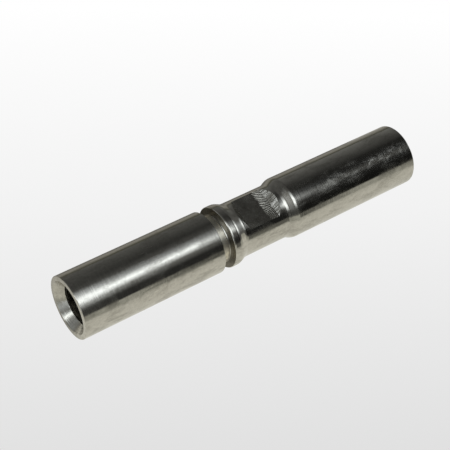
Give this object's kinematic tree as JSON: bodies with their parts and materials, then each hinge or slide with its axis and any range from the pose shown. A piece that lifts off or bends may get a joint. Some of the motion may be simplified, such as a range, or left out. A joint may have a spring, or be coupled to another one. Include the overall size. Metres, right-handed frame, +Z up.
{
  "type": "rigid sleeve coupling",
  "caption": "Round stainless coupling rod with tapped ends: a threaded sleeve screws onto the body's spigot against a spacer ring, and wrench flats are milled on the neck.",
  "frame": {"origin": "on the rod's axis, halfway along it", "axes": "+X along the rod from the sleeve's mouth to the body's tapped end, +Z up and square to the upper wrench flat, +Y completes the right hand"},
  "size_m": [0.197, 0.032, 0.032],
  "materials": {
    "turned_steel": "fine turned and polished stainless steel",
    "ring_steel": "turned stainless steel"
  },
  "bodies": {
    "body": {"rod_body": "turned_steel"},
    "ring": {"spacer_ring": "ring_steel"},
    "sleeve": {"threaded_sleeve": "turned_steel"}
  },
  "joints": [
    {"name": "ring_slide", "type": "slide", "parent": "body", "child": "ring", "axis": [-1, 0, 0], "range_m": [0, 0.024]},
    {"name": "sleeve_turn", "type": "hinge", "parent": "ring", "child": "sleeve", "pos_m": [-0.0213, 0, 0], "axis": [-1, 0, 0], "range_deg": [0, 5760]}
  ],
  "couplings": [
    {"joint": "sleeve_turn", "follows": "ring_slide", "rad_per_m": 4188.8}
  ]
}
